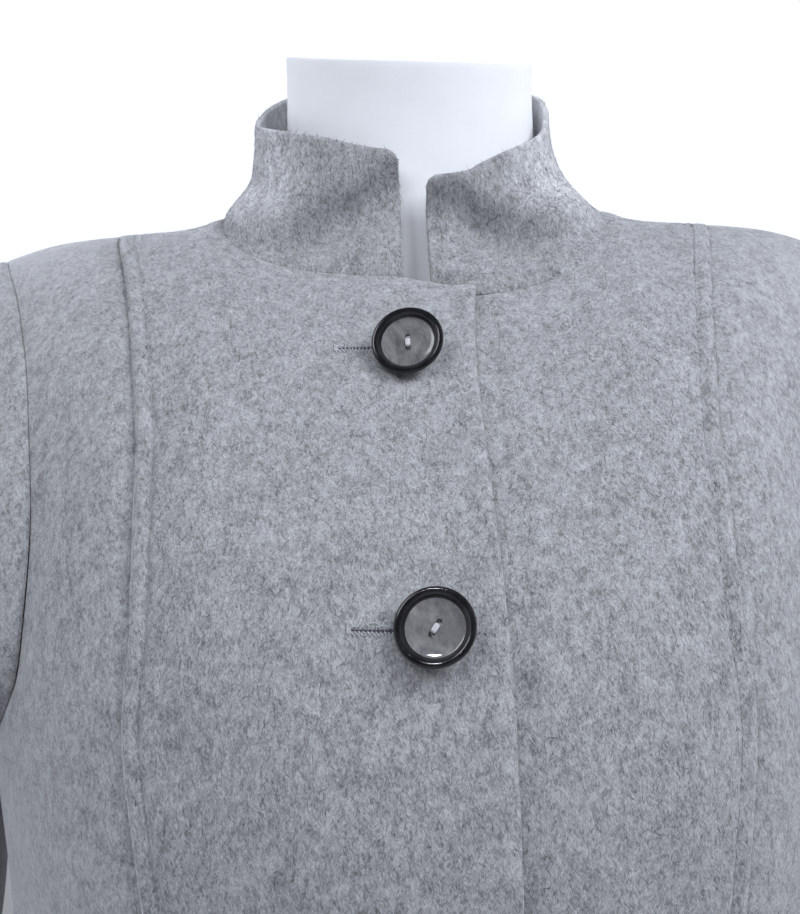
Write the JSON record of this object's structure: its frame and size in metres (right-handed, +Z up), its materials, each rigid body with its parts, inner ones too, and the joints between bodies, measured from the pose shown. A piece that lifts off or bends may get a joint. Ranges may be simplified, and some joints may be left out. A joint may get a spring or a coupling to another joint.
{
  "type": "wool coat on a dress form",
  "caption": "Single-breasted wool melton coat with a stand collar, panelled fronts and large two-hole buttons, standing on a limbless dress form with pole and round base.",
  "frame": {"origin": "middle of the stand's round base, on the floor", "axes": "+Z up; the coat's front faces -Y; the wearer's right is -X"},
  "size_m": [0.59, 0.38, 1.5049],
  "materials": {
    "wool": "light grey melange wool melton with a soft brushed nap",
    "horn": "polished near-black rim and a smoky grey dished centre",
    "form_cover": "smooth matt white stretched cover",
    "pole_steel": "satin",
    "base_steel": "satin white paint"
  },
  "bodies": {
    "root": {"front_right_centre": "wool", "front_right_side": "wool", "front_left_centre": "wool", "front_left_side": "wool", "back": "wool", "sleeve_right": "wool", "sleeve_left": "wool", "collar": "wool", "button_1": "horn", "button_2": "horn", "button_3": "horn", "button_4": "horn", "button_5": "horn", "form_torso": "form_cover", "stand_pole": "pole_steel", "stand_base": "base_steel"}
  },
  "joints": []
}
